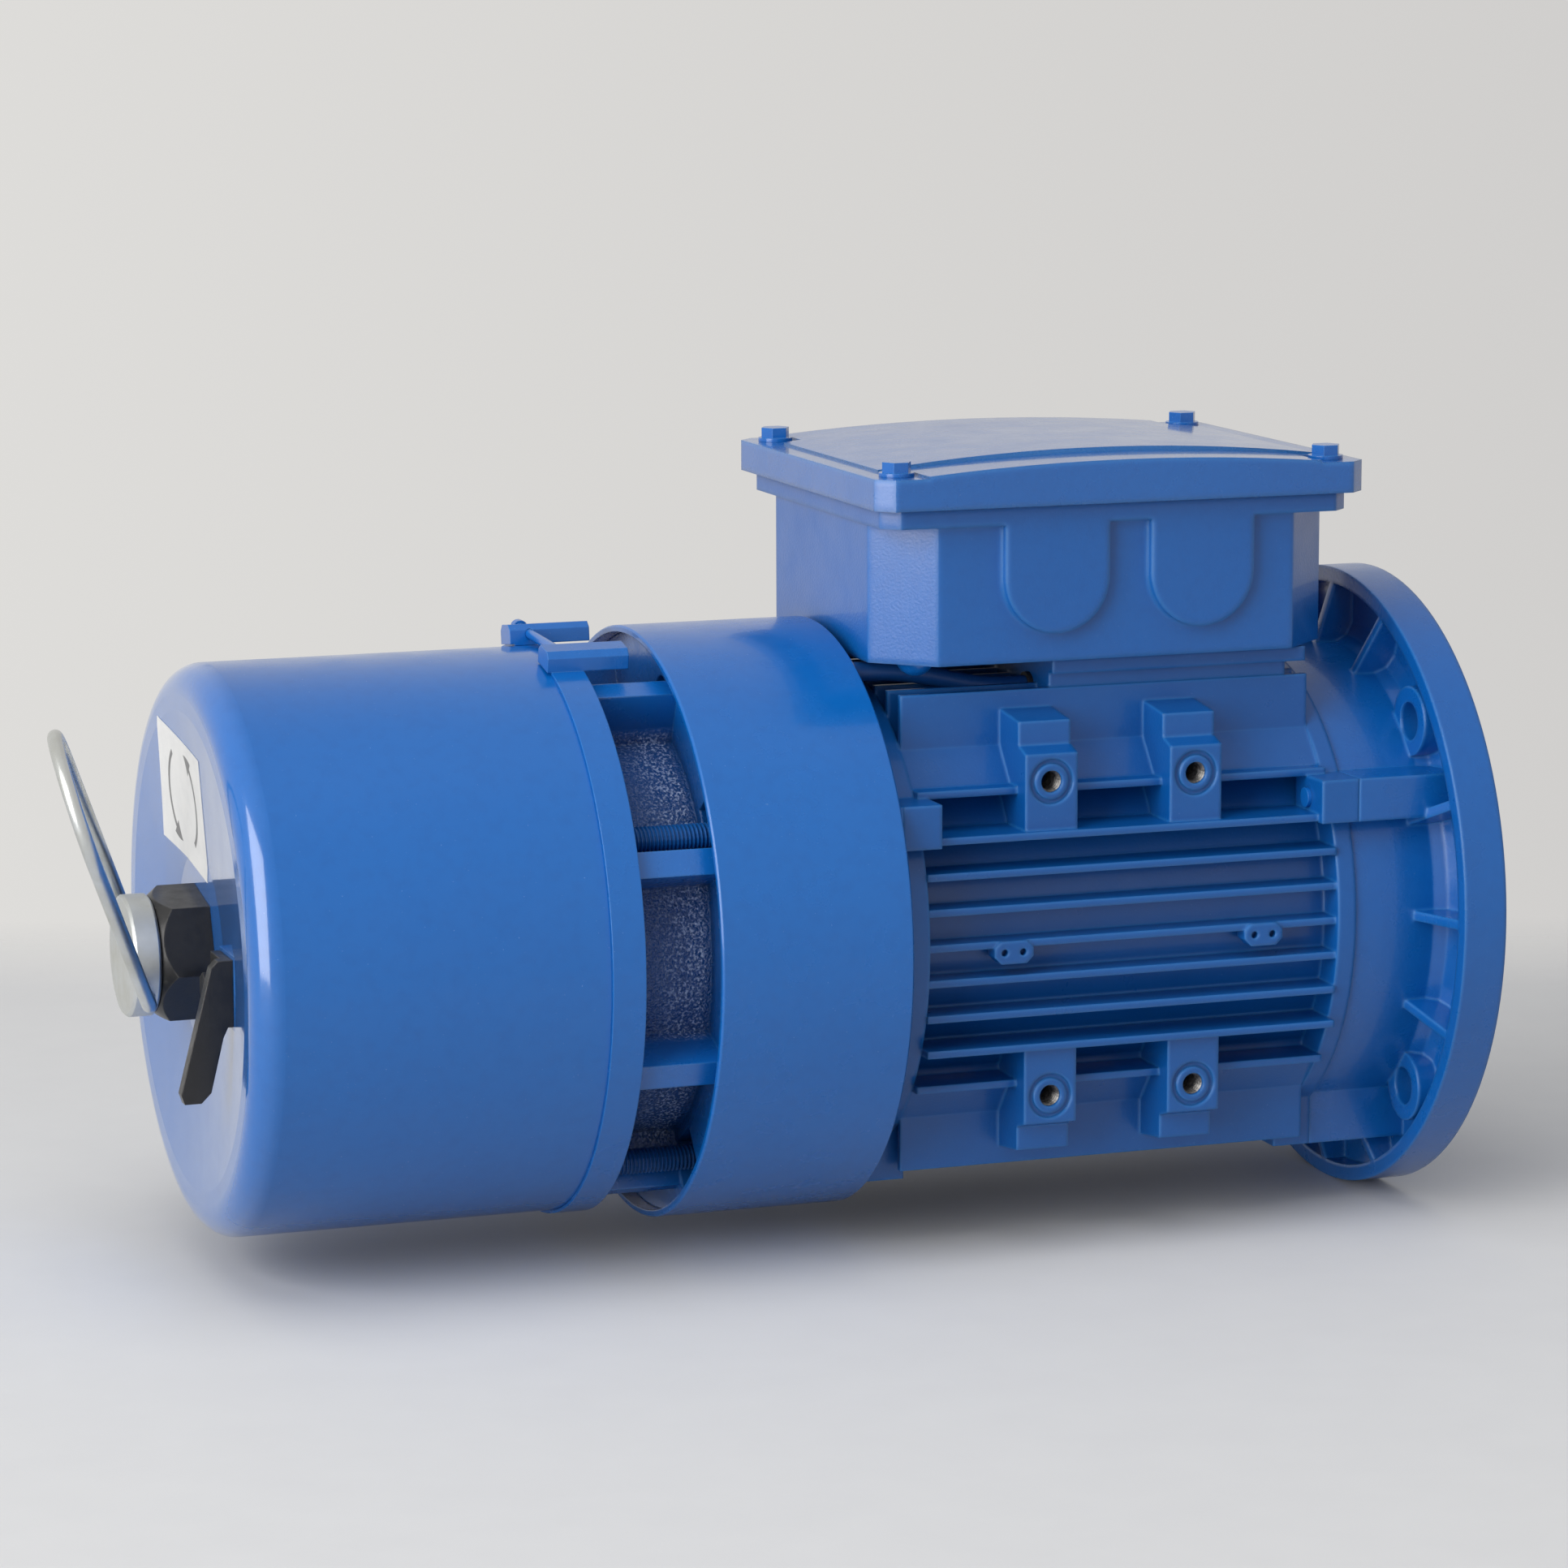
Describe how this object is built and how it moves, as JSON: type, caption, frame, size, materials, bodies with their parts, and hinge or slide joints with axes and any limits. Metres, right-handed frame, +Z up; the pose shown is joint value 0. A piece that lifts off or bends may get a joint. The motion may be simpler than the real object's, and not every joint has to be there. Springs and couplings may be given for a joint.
{
  "type": "brake motor",
  "caption": "Flange-mounted finned electric motor with a terminal box on top and a spring-applied disc brake with a hand release at its rear end.",
  "frame": {"origin": "centre of the mounting face of the flange, on the shaft axis", "axes": "+X along the shaft out of the flange, +Z up through the terminal box"},
  "size_m": [0.4801, 0.2, 0.2466],
  "materials": {
    "blue_paint": "glossy paint",
    "zinc": "bright zinc plate",
    "black_steel": "black satin",
    "shaft_steel": "ground steel",
    "bearing_steel": "polished steel",
    "core_steel": "stacked sheet",
    "cast_aluminium": "as cast",
    "winding": "varnished copper",
    "friction": "friction lining",
    "rubber": "matt rubber",
    "plastic": "moulded",
    "brass": "turned brass"
  },
  "bodies": {
    "motor": {"flange_shield": "blue_paint", "stator_frame": "blue_paint", "rear_endshield": "blue_paint", "frame_bolts": "blue_paint", "tie_studs": "blue_paint", "tie_nuts": "zinc", "fan_cowl": "blue_paint", "brake_bracket": "blue_paint", "brake_cover": "blue_paint", "clamp_band": "blue_paint", "clamp_screw": "blue_paint", "terminal_box": "blue_paint", "terminal_lid": "blue_paint", "lid_screws": "blue_paint", "entry_plug": "blue_paint", "brake_lead": "blue_paint", "stator_core": "core_steel", "stator_windings": "winding", "front_bearing_outer": "bearing_steel", "rear_bearing_outer": "bearing_steel", "wave_spring": "bearing_steel", "shaft_seal": "rubber", "cover_seal": "rubber", "friction_plate": "shaft_steel", "brake_magnet": "core_steel", "brake_coil": "winding", "brake_screws": "zinc", "brake_sleeves": "brass", "pressure_springs": "bearing_steel", "hex_bush": "black_steel", "bail_catch": "black_steel", "catch_screw": "black_steel", "box_gasket": "rubber", "lid_gasket": "rubber", "box_screws": "zinc", "terminal_board": "plastic", "terminal_studs": "brass", "terminal_links": "brass", "rectifier": "plastic", "lead_grommet": "rubber"},
    "rotor": {"shaft": "shaft_steel", "rotor_core": "core_steel", "rotor_cage": "cast_aluminium", "front_bearing_inner": "bearing_steel", "rear_bearing_inner": "bearing_steel", "fan": "plastic", "fan_circlip": "bearing_steel", "brake_hub": "shaft_steel", "hub_circlip": "bearing_steel", "friction_disc": "friction", "dust_ring": "rubber"},
    "front_balls": {"front_ball_cage": "bearing_steel"},
    "rear_balls": {"rear_ball_cage": "bearing_steel"},
    "armature": {"armature_plate": "shaft_steel", "release_pins": "zinc", "release_yoke": "zinc"},
    "release": {"release_knob": "zinc", "release_spindle": "zinc"},
    "bail": {"release_bail": "zinc"}
  },
  "joints": [
    {"name": "rotor_spin", "type": "hinge", "parent": "motor", "child": "rotor", "pos_m": [0, 0, 0], "axis": [1, 0, 0], "continuous": true},
    {"name": "front_balls_spin", "type": "hinge", "parent": "motor", "child": "front_balls", "pos_m": [-0.027, 0, 0], "axis": [1, 0, 0], "continuous": true},
    {"name": "rear_balls_spin", "type": "hinge", "parent": "motor", "child": "rear_balls", "pos_m": [-0.199, 0, 0], "axis": [1, 0, 0], "continuous": true},
    {"name": "release_turn", "type": "hinge", "parent": "motor", "child": "release", "pos_m": [-0.4074, 0, 0], "axis": [-1, 0, 0], "range_deg": [0, 60], "stiffness_Nm_per_rad": 1.5, "springref_deg": -11.46},
    {"name": "armature_slide", "type": "slide", "parent": "motor", "child": "armature", "axis": [-1, 0, 0], "range_m": [0, 0.0004], "deforming": ["pressure_springs"]},
    {"name": "bail_fold", "type": "hinge", "parent": "release", "child": "bail", "pos_m": [-0.4074, 0, 0], "axis": [0, 0.8377, 0.5461], "range_deg": [-135, 20]}
  ],
  "couplings": [
    {"joint": "front_balls_spin", "follows": "rotor_spin", "ratio": 0.3925},
    {"joint": "rear_balls_spin", "follows": "rotor_spin", "ratio": 0.3925},
    {"joint": "release_turn", "follows": "armature_slide", "rad_per_m": 2618}
  ]
}
